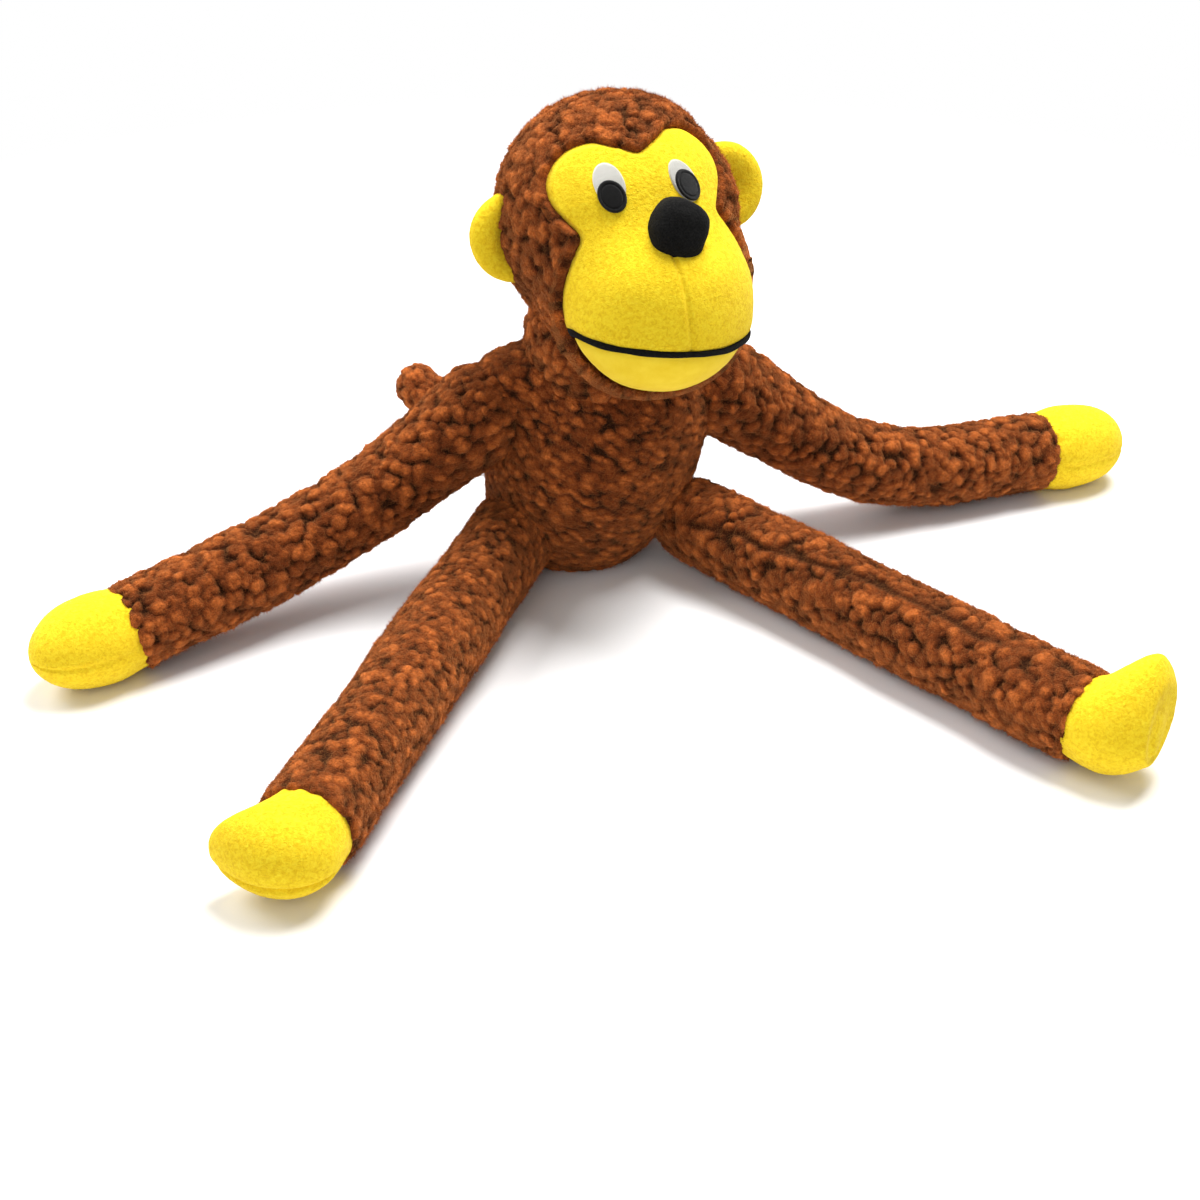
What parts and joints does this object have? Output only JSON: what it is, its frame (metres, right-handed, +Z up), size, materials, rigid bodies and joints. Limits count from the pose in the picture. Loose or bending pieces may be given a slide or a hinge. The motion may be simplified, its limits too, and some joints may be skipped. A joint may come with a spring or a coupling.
{
  "type": "stuffed monkey",
  "caption": "Sitting stuffed monkey in curly brown fleece with a yellow face, ears, hands and feet, long floppy limbs and a tail.",
  "frame": {"origin": "Middle of the flat seat under the torso, on the surface the toy sits on.", "axes": "+Z up, the toy faces -Y, and +X is its left side."},
  "size_m": [0.4674, 0.3508, 0.19],
  "materials": {
    "brown_fleece": "curly sherpa pile in brown",
    "yellow_plush": "short-piled yellow velboa",
    "black_plush": "short-piled black cloth",
    "white_thread": "satin-stitched white thread",
    "black_thread": "satin-stitched black thread",
    "stuffing": "loose white polyester fibre"
  },
  "bodies": {
    "torso": {"torso_cover": "brown_fleece", "torso_stuffing": "stuffing"},
    "neck": {"neck_cover": "brown_fleece", "neck_stuffing": "stuffing"},
    "head": {"head_cover": "brown_fleece", "head_stuffing": "stuffing", "face_panel": "yellow_plush", "left_eye_white": "white_thread", "right_eye_white": "white_thread", "left_eye_pupil": "black_thread", "right_eye_pupil": "black_thread", "left_muzzle_panel": "yellow_plush", "right_muzzle_panel": "yellow_plush", "chin_panel": "yellow_plush", "muzzle_stuffing": "stuffing", "mouth_piping": "black_plush", "nose_cover": "black_plush", "nose_stuffing": "stuffing", "right_ear_cover": "yellow_plush", "right_ear_stuffing": "stuffing", "left_ear_cover": "yellow_plush", "left_ear_stuffing": "stuffing"},
    "right_upper_arm": {"right_upper_arm_cover": "brown_fleece", "right_upper_arm_stuffing": "stuffing"},
    "right_forearm": {"right_forearm_cover": "brown_fleece", "right_forearm_stuffing": "stuffing", "right_hand_cover": "yellow_plush", "right_hand_stuffing": "stuffing"},
    "right_thigh": {"right_thigh_cover": "brown_fleece", "right_thigh_stuffing": "stuffing"},
    "right_shin": {"right_shin_cover": "brown_fleece", "right_shin_stuffing": "stuffing", "right_foot_cover": "yellow_plush", "right_foot_sole": "yellow_plush", "right_foot_stuffing": "stuffing"},
    "left_upper_arm": {"left_upper_arm_cover": "brown_fleece", "left_upper_arm_stuffing": "stuffing"},
    "left_forearm": {"left_forearm_cover": "brown_fleece", "left_forearm_stuffing": "stuffing", "left_hand_cover": "yellow_plush", "left_hand_stuffing": "stuffing"},
    "left_thigh": {"left_thigh_cover": "brown_fleece", "left_thigh_stuffing": "stuffing"},
    "left_shin": {"left_shin_cover": "brown_fleece", "left_shin_stuffing": "stuffing", "left_foot_cover": "yellow_plush", "left_foot_sole": "yellow_plush", "left_foot_stuffing": "stuffing"},
    "tail_base": {"tail_base_cover": "brown_fleece", "tail_base_stuffing": "stuffing"},
    "tail_end": {"tail_end_cover": "brown_fleece", "tail_end_stuffing": "stuffing"}
  },
  "joints": [
    {"name": "neck_turn", "type": "hinge", "parent": "torso", "child": "neck", "pos_m": [0, 0, 0.092], "axis": [0, 0, 1], "range_deg": [-45, 45], "stiffness_Nm_per_rad": 0.35},
    {"name": "neck_nod", "type": "hinge", "parent": "neck", "child": "head", "pos_m": [0, 0, 0.092], "axis": [-1, 0, 0], "range_deg": [-4, 25], "stiffness_Nm_per_rad": 0.35},
    {"name": "right_shoulder", "type": "hinge", "parent": "torso", "child": "right_upper_arm", "pos_m": [-0.05576, 0.00195, 0.0625], "axis": [-0.1461, 0.9893, 0], "range_deg": [-18, 75]},
    {"name": "right_elbow", "type": "hinge", "parent": "right_upper_arm", "child": "right_forearm", "pos_m": [-0.10977, -0.00603, 0.03], "axis": [0, 0, 1], "range_deg": [-50, 40]},
    {"name": "right_hip", "type": "hinge", "parent": "torso", "child": "right_thigh", "pos_m": [-0.04758, -0.02138, 0.0175], "axis": [-0.8241, 0.5664, 0], "range_deg": [-55, 30]},
    {"name": "right_knee", "type": "hinge", "parent": "right_thigh", "child": "right_shin", "pos_m": [-0.09289, -0.08731, 0.0175], "axis": [0.8241, -0.5664, 0], "range_deg": [-60, 60]},
    {"name": "left_shoulder", "type": "hinge", "parent": "torso", "child": "left_upper_arm", "pos_m": [0.05563, -0.00389, 0.0625], "axis": [-0.1305, -0.9914, 0], "range_deg": [-18, 75]},
    {"name": "left_elbow", "type": "hinge", "parent": "left_upper_arm", "child": "left_forearm", "pos_m": [0.1176, -0.01205, 0.019], "axis": [0, 0, -1], "range_deg": [-50, 40]},
    {"name": "left_hip", "type": "hinge", "parent": "torso", "child": "left_thigh", "pos_m": [0.03913, -0.03237, 0.0175], "axis": [-0.8934, -0.4493, 0], "range_deg": [-55, 30]},
    {"name": "left_knee", "type": "hinge", "parent": "left_thigh", "child": "left_shin", "pos_m": [0.07507, -0.10384, 0.0175], "axis": [0.8934, 0.4493, 0], "range_deg": [-60, 60]},
    {"name": "tail_wag", "type": "hinge", "parent": "torso", "child": "tail_base", "pos_m": [0, 0.03949, 0.01], "axis": [0, 0, 1], "range_deg": [-55, 30]},
    {"name": "tail_bend", "type": "hinge", "parent": "tail_base", "child": "tail_end", "pos_m": [-0.02203, 0.08348, 0.01], "axis": [0, 0, 1], "range_deg": [-45, 45]}
  ]
}
